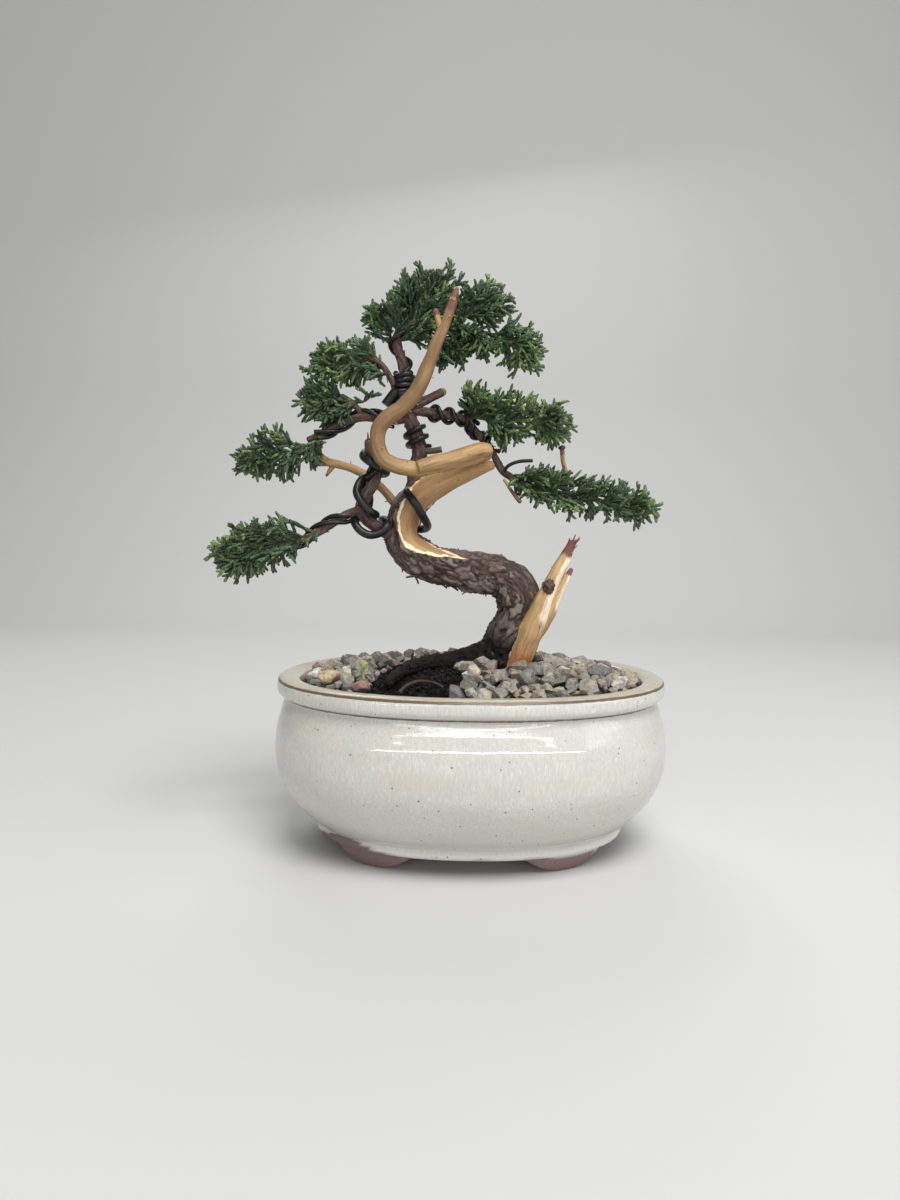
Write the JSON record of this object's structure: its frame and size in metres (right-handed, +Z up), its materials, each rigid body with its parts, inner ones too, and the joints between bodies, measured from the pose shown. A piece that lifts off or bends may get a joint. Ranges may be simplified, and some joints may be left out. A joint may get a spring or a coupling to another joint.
{
  "type": "bonsai tree in a pot",
  "caption": "Small wired juniper bonsai with an S-shaped trunk, carved deadwood and green foliage pads, planted in gravel in an oval cream-glazed pot on clay feet.",
  "frame": {"origin": "on the surface the pot stands on, below the centre of the whole plant's box", "axes": "+Z up along the tree's height, +X along the pot's long side to the viewer's right, +Y to the back across the pot"},
  "size_m": [0.1761, 0.1244, 0.2241],
  "materials": {
    "glazed_pot": "cream glaze over mauve-brown unglazed clay at the feet and underside",
    "bark": "flaky, matte",
    "deadwood": "bare carved wood, satin",
    "black_wire": "black anodised, satin",
    "foliage": "waxy scale foliage, matte",
    "wet_soil": "wet potting soil, matte",
    "grey_stone": "rough broken gravel, matte",
    "warm_stone": "rough broken gravel, matte",
    "plastic_mesh": "moulded drainage net",
    "fresh_shoot": "soft yellow-green shoot"
  },
  "bodies": {
    "root": {"pot": "glazed_pot", "drainage_mesh_left": "plastic_mesh", "drainage_mesh_right": "plastic_mesh", "mesh_clip_left": "black_wire", "mesh_clip_right": "black_wire", "wire_trunk": "black_wire", "wire_leader_thick": "black_wire", "wire_leader": "black_wire", "wire_middle_left": "black_wire", "wire_lower_left": "black_wire", "wire_right_upper": "black_wire", "soil": "wet_soil", "gravel_bed": "grey_stone", "stone_white": "grey_stone", "stone_grey_left": "grey_stone", "stone_cream": "grey_stone", "stone_slate": "grey_stone", "stone_beige": "warm_stone", "stone_speckled": "warm_stone", "stone_wine": "warm_stone", "stone_grey_front": "warm_stone", "trunk": "bark", "root_left": "bark", "fine_rootlet": "bark", "live_leader": "bark", "cut_stub": "bark", "branch_left_upright": "bark", "branch_lower_left": "bark", "branch_middle_left": "bark", "branch_upper_left": "bark", "branch_upper_left_low": "bark", "branch_right": "bark", "twig_right_upper": "bark", "twig_apex": "bark", "deadwood_lower_jin": "deadwood", "deadwood_long_jin": "deadwood", "deadwood_jin_fork": "deadwood", "deadwood_left_jin": "deadwood", "dead_twig": "deadwood", "sprout": "fresh_shoot", "foliage_apex_left": "foliage", "foliage_apex_top_left": "foliage", "foliage_apex_top_right": "foliage", "foliage_apex_right": "foliage", "foliage_apex_middle": "foliage", "foliage_upper_left_top": "foliage", "foliage_upper_left_low": "foliage", "foliage_middle_left": "foliage", "foliage_lower_left": "foliage", "foliage_right_upper": "foliage", "foliage_right_lower": "foliage"}
  },
  "joints": []
}
